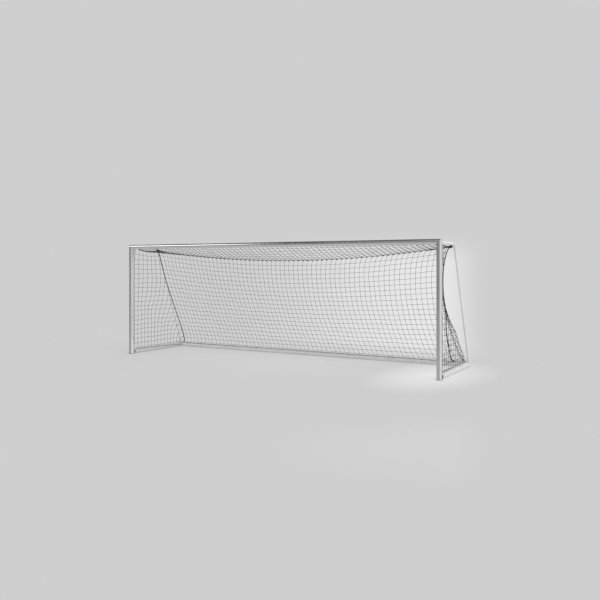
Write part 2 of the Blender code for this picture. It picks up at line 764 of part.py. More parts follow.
def hook_strip(name, start, end, outward, side_way, cords):
    """A strip that slides into a net slot, with a hook between each two neighbouring cords of the net.

    start and end are on the bar's crown, outward points out of the slot, side_way to the hooks' mouths.
    cords are the places of the cords, measured along the line from start to end.
    """
    line = (end - start).normalized()
    length = (end - start).length
    top = -SLOT_LIP - GAP
    outline = [
        (-STRIP_HALF, top - STRIP_FLANGE), (STRIP_HALF, top - STRIP_FLANGE), (STRIP_HALF, top),
        (HOOK_STEM / 2, top), (HOOK_STEM / 2, GAP), (-HOOK_STEM / 2, GAP), (-HOOK_STEM / 2, top),
        (-STRIP_HALF, top),
    ]
    middles = [(one + other) / 2 for one, other in zip(cords, cords[1:])]
    stations = [0.0]
    for middle in middles:
        if HOOK_WIDTH < middle < length - HOOK_WIDTH:
            stations += [middle - HOOK_WIDTH / 2, middle + HOOK_WIDTH / 2]
    stations.append(length)

    def ring(distance):
        return lambda u, v: start + line * distance + side_way * u + outward * v

    strip = extruded(name, [outline], [ring(distance) for distance in stations])
    bm = bmesh.new()
    bm.from_mesh(strip.data)
    bmesh.ops.remove_doubles(bm, verts=bm.verts, dist=1e-6)
    crown = [f for f in bm.faces if f.normal.dot(outward) > 0.9
             and (f.calc_center_median() - start).dot(outward) > 0
             and abs(extent(f, line) - HOOK_WIDTH) < 1e-4]
    for face in crown:
        stem = grown(bm, face, outward * (HOOK_REACH - GAP))
        bar_end = grown(bm, stem, outward * HOOK_BAR)
        flank = beside(bar_end, side_way)
        throat = grown(bm, flank, side_way * HOOK_THROAT)
        tip = grown(bm, throat, side_way * HOOK_BAR)
        under = beside(tip, -outward)
        grown(bm, under, -outward * HOOK_LIP)
    bmesh.ops.recalc_face_normals(bm, faces=bm.faces)
    bm.to_mesh(strip.data)
    bm.free()
    return dress(strip, "black_plastic")


def extent(face, line):
    spans = [vert.co.dot(line) for vert in face.verts]
    return max(spans) - min(spans)


def grown(bm, face, move):
    """Extrudes one face and returns its moved copy."""
    result = bmesh.ops.extrude_face_region(bm, geom=[face])["geom"]
    bmesh.ops.delete(bm, geom=[face], context="FACES")
    bmesh.ops.translate(bm, verts=[v for v in result if isinstance(v, bmesh.types.BMVert)], vec=move)
    moved = next(f for f in result if isinstance(f, bmesh.types.BMFace))
    bm.normal_update()
    return moved


def beside(face, direction):
    """The face that shares an edge with this one and looks the given way."""
    neighbours = {other for edge in face.edges for other in edge.link_faces if other is not face}
    return max(neighbours, key=lambda other: other.normal.dot(direction))


def build_hook_strips():
    crown = DEPTH / 2
    half = POST_X - HANGER_INWARD - SHOE_IN
    hook_strip("crossbar_hook_strip", at(-half, crown, BAR_Z), at(half, crown, BAR_Z), BACK, -UP,
               [x + half for x in column_cords(TOP_HALF)])
    half = POST_X - SHOE_IN - 2 * GAP
    hook_strip("rear_hook_strip", at(-half, REAR_AXIS, GROUND_HEIGHT), at(half, REAR_AXIS, GROUND_HEIGHT),
               UP, -BACK, [x + half for x in column_cords(FOOT_HALF)])
    low = FLANGE_TOP + GAP
    high = ARM_LOW - GAP
    front, rear = PLATE_BACK + 2 * GAP, REAR_AXIS - SHOE_IN - GAP
    for word, side in SIDES:
        x = side * POST_X
        hook_strip(f"{word}_post_hook_strip", at(x, crown, low), at(x, crown, high), BACK, -side * RIGHT,
                   [z - low for z in side_rows()])
        hook_strip(f"{word}_rail_hook_strip", at(x, front, GROUND_HEIGHT), at(x, rear, GROUND_HEIGHT), UP,
                   -side * RIGHT, [back - front for back in side_columns(rear)])


# Net panels

def column_count():
    return int(round(2 * TOP_HALF / NET_MESH))


def column_cords(half):
    """Where the upright cords of the back and top panels meet a level bar, from the left."""
    count = column_count()
    return [spread(i / count, half) for i in range(count + 1)]


def side_rows():
    """Heights of the level cords of a side panel, from the rail up."""
    high = ROPE_TOP - NET_INSET
    count = int(round((high - NET_LOW) / NET_MESH))
    return [NET_LOW + (high - NET_LOW) * i / count for i in range(count + 1)]


def side_columns(reach):
    """Distances of the plumb cords of a side panel behind the posts' axis, just past reach."""
    count = int((reach - NET_FRONT) / NET_MESH) + 1
    return [NET_FRONT + NET_MESH * i for i in range(count + 1)]


def net_from(name, bm):
    """Turns the faces of an open sheet into a net with a cord along every edge."""
    bmesh.ops.remove_doubles(bm, verts=bm.verts, dist=1e-5)
    obj = from_bmesh(name, bm)
    cords = obj.modifiers.new("cords", "WIREFRAME")
    cords.thickness = NET_CORD
    cords.use_even_offset = True
    cords.use_boundary = True
    cords.use_replace = True
    cords.offset = 0
    return dress(obj, "net_cord")


def grid_sheet(columns, rows, place):
    bm = bmesh.new()
    bmesh.ops.create_grid(bm, x_segments=columns, y_segments=rows, size=0.5)
    for vert in bm.verts:
        vert.co = place(vert.co.x + 0.5, vert.co.y + 0.5)
    return bm


def top_net():
    """From the crossbar's hooks back to the rear rope, sagging between the side ropes."""
    span = HANGER_BACK - NET_FRONT

    def place(a, b):
        x = spread(a, TOP_HALF)
        s = (1 + x / (TOP_HALF + NET_INSET)) / 2
        t = b * (1 - NET_INSET / span)
        front = at(x, NET_FRONT, BAR_Z - CORD_SIDE)
        return front.lerp(rear_rope(s), t) - UP * side_rope_hang(s, t)

    return grid_sheet(column_count(), int(round(span / NET_MESH)), place)


def back_net():
    """From the rear rope down to the hooks of the rear ground bar, between the corner ropes."""
    height = ROPE_TOP - GROUND_HEIGHT
    top = NET_INSET / height

    def place(a, b):
        t = top + b * (1 - top)
        ruled = corner_rope(-1, t).lerp(corner_rope(1, t), a)
        hang = rear_rope(a) - hanger_centre(-1).lerp(hanger_centre(1), a)
        foot = at(spread(a, FOOT_HALF), REAR_AXIS - CORD_SIDE, NET_LOW)
        rise = foot - lug_centre(-1).lerp(lug_centre(1), a)
        ruled.x *= 1 - NET_INSET * (1 - t) / TOP_HALF
        return ruled + hang * (1 - t) + rise * t

    return grid_sheet(column_count(), int(round(height / NET_MESH)), place)


def side_net(side):
    """An upright grid of meshes behind the post, cut off along the corner rope."""
    heights = side_rows()
    drop = ROPE_TOP - lug_centre(side).z

    def rope_at(z):
        return corner_rope(side, min(max((ROPE_TOP - z) / drop, 0), 1))

    def rope_back(z):
        return rope_at(z).y - POST_Y - NET_INSET

    def place(back, z):
        reach = min(max((back - NET_FRONT) / (rope_back(z) - NET_FRONT), 0), 1)
        lift = (z - NET_LOW) / (ROPE_TOP - NET_LOW)
        turned = max((lift - SIDE_NET_TURN) / (1 - SIDE_NET_TURN), 0)
        start = CORD_SIDE + (HANGER_INWARD - CORD_SIDE) * turned
        end = POST_X - abs(rope_at(z).x)
        bend = 1 + SIDE_NET_FLAT * (1 - lift) ** SIDE_NET_FADE
        return at(side * (POST_X - start - (end - start) * reach ** bend), back, z)

    bm = bmesh.new()
    for z_low, z_high in zip(heights, heights[1:]):
        band = mesh_band(z_low, z_high, rope_back)
        bm.from_mesh(band)
        bpy.data.meshes.remove(band)
    bmesh.ops.remove_doubles(bm, verts=bm.verts, dist=1e-5)
    for vert in bm.verts:
        back, z = vert.co.x, vert.co.z
        if z > heights[-1] - 1e-4:
            t = min((back - DEPTH / 2) / (HANGER_BACK - DEPTH / 2), 1)
            z = side_rope(side, t).z - NET_INSET
        vert.co = place(back, z)
    return bm


def mesh_band(z_low, z_high, rope_back):
    """One row of meshes in the upright plane, as (back, 0, z), cut along the rope."""
    low_end, high_end = rope_back(z_low), rope_back(z_high)
    cords = side_columns(max(low_end, high_end))
    bm = bmesh.new()
    bmesh.ops.create_grid(bm, x_segments=len(cords) - 1, y_segments=1, size=0.5)
    for vert in bm.verts:
        back = cords[0] + (vert.co.x + 0.5) * (cords[-1] - cords[0])
        vert.co = (back, 0, z_low + (vert.co.y + 0.5) * (z_high - z_low))
    outward = Vector((z_high - z_low, 0, low_end - high_end))
    bmesh.ops.bisect_plane(bm, geom=bm.verts[:] + bm.edges[:] + bm.faces[:], dist=1e-6,
                           plane_co=(low_end, 0, z_low), plane_no=outward, clear_outer=True)
    mesh = bpy.data.meshes.new("band")
    bm.to_mesh(mesh)
    bm.free()
    return mesh


def build_net():
    net_from("top_net", top_net())
    net_from("back_net", back_net())
    for word, side in SIDES:
        net_from(f"{word}_side_net", side_net(side))
        net_hanger(f"{word}_net_hanger", side)


clear_scene()
GOAL = new_collection("soccer_goal")
CUTTERS = new_collection("cutters")
build_frame()
build_brackets()
build_hook_strips()
build_ropes()
build_net()
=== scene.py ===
"""Looks of a full-size soccer goal: finishes of its frame, its laid ropes and its knotted net.

Metres, +Z up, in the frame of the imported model. The mouth faces -Y.
"""

from math import cos, pi, radians, sin, tan
from typing import NamedTuple, Sequence

import bmesh
import bpy
import numpy as np
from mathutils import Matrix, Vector, noise


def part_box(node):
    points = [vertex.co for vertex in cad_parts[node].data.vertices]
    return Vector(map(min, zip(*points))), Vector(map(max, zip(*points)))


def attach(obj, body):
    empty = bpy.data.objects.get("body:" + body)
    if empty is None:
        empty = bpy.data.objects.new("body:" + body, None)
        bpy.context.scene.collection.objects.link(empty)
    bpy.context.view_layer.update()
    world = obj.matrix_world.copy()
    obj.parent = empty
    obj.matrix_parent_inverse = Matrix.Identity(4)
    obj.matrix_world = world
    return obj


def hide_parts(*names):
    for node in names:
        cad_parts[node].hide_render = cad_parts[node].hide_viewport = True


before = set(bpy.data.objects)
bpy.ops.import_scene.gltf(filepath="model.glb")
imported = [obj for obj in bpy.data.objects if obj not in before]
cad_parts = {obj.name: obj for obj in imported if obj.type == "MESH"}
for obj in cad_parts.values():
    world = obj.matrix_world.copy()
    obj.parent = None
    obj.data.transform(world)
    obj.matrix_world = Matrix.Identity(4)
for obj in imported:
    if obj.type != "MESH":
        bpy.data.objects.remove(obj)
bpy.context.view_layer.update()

UP = Vector((0, 0, 1))
LEFT = Vector((-1, 0, 0))
BACK = Vector((0, 1, 0))
AXES = (Vector((1, 0, 0)), Vector((0, 1, 0)), Vector((0, 0, 1)))
SIDES = (("left", -1), ("right", 1))


def middle(node):
    low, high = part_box(node)
    return (low + high) / 2


# Places read from the frame
POST_X = middle("right_post").x
POST_Y = middle("right_post").y
BAR_Z = middle("crossbar").z
REAR_AXIS = middle("rear_ground_bar").y - POST_Y
GROUND_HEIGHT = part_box("rear_ground_bar")[1].z
GROUND_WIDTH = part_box("rear_ground_bar")[1].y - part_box("rear_ground_bar")[0].y
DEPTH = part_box("right_post")[1].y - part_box("right_post")[0].y

# Sizes shared with the frame's source
GAP = 0.0003
PLATE = 0.008
ARM_DROP = 0.015
ARM_REACH = 0.92
BEND_RADIUS = 0.10
FOOT_SPLAY = 0.025
HANGER_INWARD = 0.052
HANGER_DROP = 0.055
HANGER_KNOB = 0.014
SHOE_IN = 0.105
LUG_INWARD = 0.087
LUG_BACK = 0.02
LUG_HEIGHT = 0.030
LUG_KNOB = 0.010
OVAL_POWER = 2.6
OVAL_SIDES = 24
ROPE_RADIUS = 0.005
SIDE_ROPE_RADIUS = 0.003
GROUND_ROPE_ANGLE = 0.62
RAIL_ROPE_ANGLES = (0.45, 1.5)
REAR_ROPE_SAG = 0.255
REAR_ROPE_BACK = 0.03
SIDE_ROPE_SAGS = {-1: 0.055, 1: 0.02}
CORNER_INWARD_SAG = 0.178
CORNER_INWARD_SKEW = 0.90
CORNER_INWARD_FULL = 0.615
CORNER_FORWARD_SAG = 0.22
CORNER_FORWARD_SKEW = 0.77
SIDE_NET_TURN = 0.88
SIDE_NET_FLAT = 40.0
SIDE_NET_FADE = 6.0
HOOK_REACH = 0.026
HOOK_SIDE = 0.0055
COARSE_MESH = 0.35           # the source's net is coarser, with a hook for each mesh along a bar
COARSE_COLUMNS, COARSE_ROWS = 21, 7

# Ropes
ROPE_STEP = 0.04             # about the length of a rope's straight pieces
ROPE_SIDES = 10
ROPE_STRANDS = 3
ROPE_LAY = 0.042             # length of one turn of the strands
ROUTE_CHECKS = 200           # pieces in which a route's length is measured

# Net
HOOKED_MESHES = 3            # meshes from one hook to the next
COLUMNS = COARSE_COLUMNS * HOOKED_MESHES
BACK_ROWS = COARSE_ROWS * HOOKED_MESHES
SIDE_ROWS = COARSE_ROWS * HOOKED_MESHES
TOP_ROWS = 7
SIDE_MESH = COARSE_MESH / HOOKED_MESHES
MESH_STEPS = 2               # straight pieces of a cord from knot to knot
CORD_SIDES = 5
CORD_STRANDS = 4
CORD_LAY = 0.016
CORD_RADIUS = 0.0027
SIDE_CORD_RADIUS = 0.0030    # also the top net's
EDGE_RADIUS = 0.0030         # doubled cord along the net's free edges
KNOT_RADIUS = 0.0075
NET_INSET = 0.012            # net edge to the axis of the rope beside it
SCALLOP = 0.010              # sag of the net's edge between two hooks
TOP_DROOP = 0.016            # sag of a level cord between two knots
BACK_DROOP = 0.003
HELD_PARTS = 6               # knots come to rest over one part in so many, towards a panel's edge
TOP_UNREST = 0.012           # about the largest shift of a knot
BACK_UNREST = 0.010
SIDE_UNREST = 0.020
PANEL_WAVE = 0.33            # size of the patches of net that shift together
SIDE_WAVE = 0.30
TOP_SEED, BACK_SEED, SIDE_SEED = 3, 11, 40
NOISE_SEED = 1               # without it the shifts of the net's knots would follow the clock
LEANING_ROWS = 3             # rows at a side net's top that follow the side rope
HALVINGS = 30                # steps in the search for a plumb cord's upper end

# Cords that bind the net to the ropes. A reach is from the middle of what a wound cord binds to
# the cord's axis, a pitch is the length of one turn.
BUNDLE_SHIFT = 0.004         # rope's axis to the middle of the bundle of rope and net
COIL_POINTS = 9              # points in one turn
LACING_RADIUS = 0.0020
LACING_REACH = 0.0095
SIDE_LACING_PITCH = 0.060
CORNER_LACING_PITCH = 0.028
CORNER_LACING_ENDS = {-1: LUG_KNOB, 1: 1.30}   # where it ends, measured from the rope's foot
WHIP_RADIUS = 0.0032
WHIP_PITCH = 0.0075
WHIP_POINTS = 12             # points at which a wound end's middle line is read
LEFT_WHIP_LENGTH = 0.24      # ends of the rear rope that are wound tight
LEFT_WHIP_REACHES = (0.013, 0.0105)
RIGHT_WHIP_LENGTH = 0.50
RIGHT_WHIP_REACHES = (0.0085, 0.0082)
SLACK_SIDE = -1              # side rope that is wound from end to end
SLACK_LENGTH = 0.77
SLACK_REACHES = (0.0085, 0.0065)
HITCH_LENGTH = 0.040         # stretch of the rear rope that is wound at each mesh
HITCH_REACH = 0.0082
HITCH_PITCH = 0.010
HANGER_LASHING = (0.030, 0.024)    # half length and reach of the turns round a knob
LUG_LASHING = (0.013, 0.012)
LASHING_SHARES = (1.0, 0.7, 0.7)   # of the half length, for the turns about each axis

# Slack netting gathered in one fold, which leaves the right corner rope at FOLD_TOP and goes down
# through these places, each as its height and how far it is inward of and behind the post's axis
FOLD_SIDE = 1
FOLD_TOP = 1.30
FOLD = (
    (1.00, 0.276, 1.269), (0.80, 0.295, 1.337), (0.60, 0.297, 1.411), (0.40, 0.291, 1.495),
    (0.25, 0.286, 1.559), (0.15, 0.271, 1.616), (0.11, 0.250, 1.700),
)
FOLD_STRANDS = 5
FOLD_REACH = 0.009
FOLD_PITCH = 0.09

# Derived places
PLATE_BACK = DEPTH / 2 + GAP + PLATE
SHOE_TOP = GROUND_HEIGHT + GAP + PLATE
OVAL_SPREAD = 1 / cos(pi / OVAL_SIDES) ** (2 / OVAL_POWER)
ARM_Z = BAR_Z - ARM_DROP
ARM_CORNER = Vector((POST_X, ARM_REACH, ARM_Z))
LEG_FOOT = Vector((POST_X + FOOT_SPLAY, REAR_AXIS + FOOT_SPLAY, SHOE_TOP))
BEND_TURN = BACK.angle(LEG_FOOT - ARM_CORNER)
HANGER_BACK = ARM_REACH - BEND_RADIUS * tan(BEND_TURN / 2)
ROPE_TOP = ARM_Z - HANGER_DROP
CORD_SEAT = HOOK_REACH - GAP - CORD_RADIUS
TOP_HALF = POST_X - HANGER_INWARD - NET_INSET
FOOT_HALF = POST_X - LUG_INWARD - NET_INSET
NET_FRONT = DEPTH / 2 + CORD_SEAT
NET_LOW = GROUND_HEIGHT + CORD_SEAT

# Camera of the photograph
CAMERA_PLACE = (7.557, -12.723, 2.056)
CAMERA_YAW = radians(29.644)
CAMERA_LENS = 40.62
CAMERA_SENSOR = 36.0
CAMERA_SHIFT_Y = -0.0572
CAMERA_REACH = 1000

# Light, as radiance seen by a surface
BACKDROP = 0.624
WORLD_SHARE = 0.80           # of the light on the goal, the sun gives the rest
SUN_ANGLE = radians(35)
SUN_TILT = radians(38)
SUN_TURN = radians(62)

# Floor
FLOOR_RADIUS = 8.5
FLOOR_SIDES = 96
FLOOR_GLOW = 0.6             # share of the floor's paleness that no shadow takes away
POOLS = (                    # pools of light: middle, half lengths along the axes, level
    ((POST_X - 0.25, POST_Y + 0.45, 0.0), (1.15, 2.1, 1.0), 0.36),
    ((0.6, 0.0, 0.0), (4.4, 2.6, 1.0), 0.07),
)
BEHIND_FADE = (1.2, 4.0)     # y between which the floor gives way to the backdrop
ROUND_FADE = (6.0, 8.4)      # and the same for the distance from the middle


def at(x, back, z):
    """A point given by its distance behind the posts' axis."""
    return Vector((x, POST_Y + back, z))


# Routes of the ropes

def hanger_centre(side):
    return at(side * (POST_X - HANGER_INWARD), HANGER_BACK, ARM_Z - HANGER_DROP)


def lug_centre(side):
    return at(side * (POST_X - LUG_INWARD), REAR_AXIS + LUG_BACK, SHOE_TOP + LUG_HEIGHT)


def rear_rope(s):
    """From the left hanger, s = 0, to the right one, s = 1."""
    left, right = hanger_centre(-1), hanger_centre(1)
    hang = 4 * s * (1 - s)
    return left.lerp(right, s) + Vector((0, REAR_ROPE_BACK, -REAR_ROPE_SAG)) * hang


def corner_rope(side, t):
    """From the hanger, t = 0, down to the lug on the shoe, t = 1."""
    inward = CORNER_INWARD_SAG * max(sin(pi * t ** CORNER_INWARD_SKEW), 0) ** CORNER_INWARD_FULL
    forward = CORNER_FORWARD_SAG * sin(pi * t ** CORNER_FORWARD_SKEW)
    return hanger_centre(side).lerp(lug_centre(side), t) + Vector((-side * inward, -forward, 0))


def side_rope_start(side):
    return at(side * (POST_X - HANGER_INWARD), DEPTH / 2 + GAP + SIDE_ROPE_RADIUS / 2, BAR_Z - HOOK_SIDE)


def side_rope_hang(s, t):
    """How far the top net hangs, which blends from the left side rope, s = 0, to the right one, s = 1."""
    return 4 * t * (1 - t) * (SIDE_ROPE_SAGS[-1] * (1 - s) + SIDE_ROPE_SAGS[1] * s)


def side_rope(side, t):
    """From the crossbar, t = 0, back to the hanger, t = 1."""
    return side_rope_start(side).lerp(hanger_centre(side), t) - UP * side_rope_hang((side + 1) / 2, t)


def flank(angle):
    """Axis of a rope that lies against a ground bar, as (towards the goal's middle, height)."""
    exponent = 2 / OVAL_POWER
    across, up = sin(angle) ** exponent, cos(angle) ** exponent
    normal = Vector((across ** (OVAL_POWER - 1) / GROUND_WIDTH, up ** (OVAL_POWER - 1) / GROUND_HEIGHT))
    surface = Vector((across * GROUND_WIDTH, up * GROUND_HEIGHT)) / 2 * OVAL_SPREAD
    surface.y += GROUND_HEIGHT / 2
    return surface + normal.normalized() * (ROPE_RADIUS + GAP)


def rear_bar_rope(s):
    reach = POST_X - SHOE_IN
    forward, height = flank(GROUND_ROPE_ANGLE)
    return at((2 * s - 1) * reach, REAR_AXIS - forward, height)


def rail_rope(side, t):
    near, low = RAIL_ROPE_ANGLES
    inward, height = flank(near + (low - near) * t)
    front = PLATE_BACK + GAP
    rear = REAR_AXIS - GROUND_WIDTH / 2 - 2 * ROPE_RADIUS
    return at(side * (POST_X - inward), front + (rear - front) * t, height)


# Materials

LINES_ACROSS, LINES_ALONG = 260.0, 1.6    # scales of the die lines' noise on a bar
DUST_SPREAD = (-0.15, 0.1)   # least and most dust in a patch, beside the bar's own share
USUAL = (0.3, 0.7)           # range that a noise mostly keeps to
WHOLE = (0.0, 1.0)
WHITE = (1.0, 1.0, 1.0, 1.0)

# Colours between which each finish varies
BARE_ALUMINIUM = ((0.66, 0.66, 0.662), (0.77, 0.77, 0.772))
POWDER_COAT = ((0.91, 0.91, 0.905), (0.84, 0.84, 0.83))
CAST_ALUMINIUM = ((0.78, 0.783, 0.786), (0.87, 0.872, 0.874))
ZINC = ((0.52, 0.53, 0.55), (0.66, 0.665, 0.67))
BLACK_PLASTIC = ((0.018, 0.018, 0.019), (0.055, 0.054, 0.052))
GREY_PLASTIC = ((0.46, 0.46, 0.457), (0.62, 0.618, 0.61))
BLACK_ROPE = ((0.008, 0.008, 0.009), (0.035, 0.035, 0.037))
WORN_ROPE = ((0.10, 0.10, 0.10), (0.30, 0.30, 0.295))
BLACK_CORD = ((0.012, 0.012, 0.013), (0.050, 0.050, 0.051))


class Graph:
    """A node tree with short ways to add nodes and to feed their sockets."""

    def __init__(self, tree):
        self.tree = tree

    def put(self, socket, value):
        if isinstance(value, bpy.types.NodeSocket):
            self.tree.links.new(value, socket)
        else:
            socket.default_value = value

    def fill(self, made, values):
        """Feeds a node's sockets in their order."""
        for socket, value in zip(made.inputs, values):
            self.put(socket, value)

    def node(self, kind, **inputs):
        made = self.tree.nodes.new(kind)
        for key, value in inputs.items():
            self.put(made.inputs[key.replace("_", " ")], value)
        return made

    def math(self, operation, *values):
        made = self.tree.nodes.new("ShaderNodeMath")
        made.operation = operation
        self.fill(made, values)
        return made.outputs[0]

    def vector_math(self, operation, output, *values):
        made = self.tree.nodes.new("ShaderNodeVectorMath")
        made.operation = operation
        self.fill(made, values)
        return made.outputs[output]

    def chosen(self, factor, no, yes):
        """A mix of two shaders."""
        made = self.tree.nodes.new("ShaderNodeMixShader")
        self.fill(made, (factor, no, yes))
        return made.outputs[0]


class Shader(Graph):
    """The nodes of a new material round its Principled BSDF."""

    def __init__(self, name, metallic=0.0):
        self.material = bpy.data.materials.new(name)
        self.material.use_nodes = True
        super().__init__(self.material.node_tree)
        self.bsdf = self.tree.nodes["Principled BSDF"]
        self.metallic(metallic)

    def place(self, stretch=(1, 1, 1)):
        """Object coordinates, in metres, times the stretch."""
        coords = self.node("ShaderNodeTexCoord")
        return self.node("ShaderNodeMapping", Vector=coords.outputs["Object"], Scale=stretch).outputs[0]

    def noise(self, vector, scale, detail=3.0, roughness=0.55):
        made = self.node("ShaderNodeTexNoise", Vector=vector, Scale=scale, Detail=detail, Roughness=roughness)
        return made.outputs["Fac"]

    def spread(self, value, span, to=WHOLE):
        """A value taken from one range to another."""
        made = self.node("ShaderNodeMapRange")
        self.fill(made, (value, *span, *to))
        return made.outputs[0]

    def mix(self, factor, one, other):
        made = self.node("ShaderNodeMix")
        made.data_type = "RGBA"
        colours = [socket for socket in made.inputs if socket.type == "RGBA"]
        self.put(made.inputs["Factor"], factor)
        for socket, value in zip(colours, (one, other)):
            self.put(socket, value if isinstance(value, bpy.types.NodeSocket) else (*value, 1.0))
        return next(socket for socket in made.outputs if socket.type == "RGBA")

    def colour(self, value):
        self.put(self.bsdf.inputs["Base Color"], value)

    def metallic(self, value):
        self.put(self.bsdf.inputs["Metallic"], value)

    def roughness(self, value):
        self.put(self.bsdf.inputs["Roughness"], value)

    def bump(self, height, distance, strength):
        made = self.node("ShaderNodeBump", Height=height, Distance=distance, Strength=strength)
        self.put(self.bsdf.inputs["Normal"], made.outputs[0])


def drawn_aluminium(name, axis, dust=0.0, dust_and_light_grey=0.84):
    """Anodised extrusion: fine die lines along its axis, cloudy tone and a film of dust, whose grey is set
    darker on one side rail as painted shade and paler on the other as painted light.
    """
    shader = Shader(name, metallic=1.0)
    stretch = [LINES_ACROSS] * 3
    stretch[axis] = LINES_ALONG
    lines = shader.noise(shader.place(tuple(stretch)), scale=1.0, detail=2.0)
    clouds = shader.noise(shader.place(), scale=2.2, detail=4.0, roughness=0.6)
    tone = shader.math("ADD", shader.math("MULTIPLY", lines, 0.45), shader.math("MULTIPLY", clouds, 0.55))
    bare = shader.mix(shader.spread(tone, USUAL), *BARE_ALUMINIUM)
    if dust:
        patches = shader.noise(shader.place(), scale=5.0, detail=5.0, roughness=0.7)
        film = shader.spread(patches, USUAL, [dust + more for more in DUST_SPREAD])
        shader.colour(shader.mix(film, bare, (dust_and_light_grey, dust_and_light_grey, dust_and_light_grey)))
        shader.metallic(shader.math("SUBTRACT", 1.0, film))
        shader.roughness(shader.spread(clouds, USUAL, (0.36, 0.52)))
    else:
        shader.colour(bare)
        shader.roughness(shader.spread(clouds, USUAL, (0.12, 0.20)))
    shader.bump(lines, distance=0.00006, strength=0.5)
    return shader.material


def painted_tube(name):
    """White powder coat with a faint orange peel, greyed by handling."""
    shader = Shader(name)
    soil = shader.noise(shader.place(), scale=3.0, detail=5.0, roughness=0.65)
    peel = shader.noise(shader.place(), scale=420.0, detail=2.0)
    shader.colour(shader.mix(shader.spread(soil, (0.35, 0.75)), *POWDER_COAT))
    shader.roughness(shader.spread(soil, USUAL, (0.3, 0.46)))
    shader.bump(peel, distance=0.0001, strength=0.6)
    return shader.material


def cast_aluminium(name):
    """Grainy casting under a thin dull skin, with faint stains."""
    shader = Shader(name, metallic=0.3)
    grain = shader.noise(shader.place(), scale=900.0, roughness=0.7)
    stains = shader.noise(shader.place(), scale=26.0, detail=4.0, roughness=0.6)
    shader.colour(shader.mix(shader.spread(stains, USUAL), *CAST_ALUMINIUM))
    shader.roughness(shader.spread(grain, USUAL, (0.42, 0.62)))
    shader.bump(grain, distance=0.0003, strength=0.7)
    return shader.material


def zinc_steel(name):
    """Zinc plate with a fine spangle."""
    shader = Shader(name, metallic=1.0)
    spangle = shader.noise(shader.place(), scale=240.0, detail=2.0)
    shader.colour(shader.mix(shader.spread(spangle, (0.35, 0.65)), *ZINC))
    shader.roughness(shader.spread(spangle, USUAL, (0.28, 0.45)))
    shader.bump(spangle, distance=0.0001, strength=0.5)
    return shader.material


def moulded_plastic(name, clean, dusty):
    """Moulded plastic with a fine grain, and dust that lies on it in patches."""
    shader = Shader(name)
    grain = shader.noise(shader.place(), scale=1100.0, detail=2.0)
    dust = shader.noise(shader.place(), scale=30.0, detail=4.0, roughness=0.6)
    shader.colour(shader.mix(shader.spread(dust, (0.45, 0.8)), clean, dusty))
    shader.roughness(shader.spread(dust, USUAL, (0.42, 0.6)))
    shader.bump(grain, distance=0.00015, strength=0.5)
    return shader.material


def twisted_fibre(name, lay, strands, dark, pale):
    """Strands wound along a cord: u is the length in metres, v runs once round it."""
    shader = Shader(name)
    coords = shader.node("ShaderNodeTexCoord")
    u, v, _ = shader.node("ShaderNodeSeparateXYZ", Vector=coords.outputs["UV"]).outputs
    turn = shader.math("ADD", shader.math("DIVIDE", u, lay), v)
    wave = shader.math("ABSOLUTE", shader.math("SINE", shader.math("MULTIPLY", turn, strands * pi)))
    fibres = shader.noise(shader.place(), scale=700.0, roughness=0.7)
    height = shader.math("ADD", shader.math("POWER", wave, 0.5), shader.math("MULTIPLY", fibres, 0.35))
    wear = shader.noise(shader.place(), scale=9.0)
    # Painted shade: the grooves between the strands are darkened in the colour, and the wear noise varies the
    # strands' paleness.
    shade = shader.math("MULTIPLY", wave, shader.spread(wear, USUAL, (0.45, 1.0)))
    shader.colour(shader.mix(shade, dark, pale))
    shader.roughness(shader.spread(fibres, USUAL, (0.62, 0.88)))
    shader.bump(height, distance=0.0012, strength=0.8)
    return shader.material


def floor_finish(name):
    """The pale studio floor, with painted pools of light for the camera. Its shadows are softened for the
    camera, and metal mirrors the studio's fields through it."""
    shader = Shader(name)
    shader.roughness(0.9)
    shader.bsdf.inputs["Specular IOR Level"].default_value = 0.0
    shader.colour((BACKDROP, BACKDROP, BACKDROP, 1.0))
    level = BACKDROP
    # Painted pools of light, added to the floor's glow for the camera
    for centre, halves, more in POOLS:
        place = shader.place(tuple(1 / half for half in halves))
        middle_place = [c / half for c, half in zip(centre, halves)]
        reach = shader.vector_math("DISTANCE", "Value", place, middle_place)
        level = shader.math("ADD", level, shader.spread(reach, WHOLE, (more, 0.0)))
    glow = shader.node("ShaderNodeEmission", Color=WHITE, Strength=level)
    clear = shader.node("ShaderNodeBsdfTransparent")

    back = shader.node("ShaderNodeSeparateXYZ", Vector=shader.place()).outputs[1]
    distance = shader.vector_math("LENGTH", "Value", shader.place())
    gone = shader.math("MAXIMUM", shader.spread(back, BEHIND_FADE), shader.spread(distance, ROUND_FADE))
    path = shader.node("ShaderNodeLightPath")
    camera, glossy = path.outputs["Is Camera Ray"], path.outputs["Is Glossy Ray"]
    share = shader.math("MULTIPLY", camera, FLOOR_GLOW)
    seen = shader.chosen(share, shader.bsdf.outputs[0], glow.outputs[0])
    through = shader.math("MAXIMUM", shader.math("MULTIPLY", camera, gone), glossy)
    surface = shader.chosen(through, seen, clear.outputs[0])
    shader.put(shader.tree.nodes["Material Output"].inputs["Surface"], surface)
    return shader.material


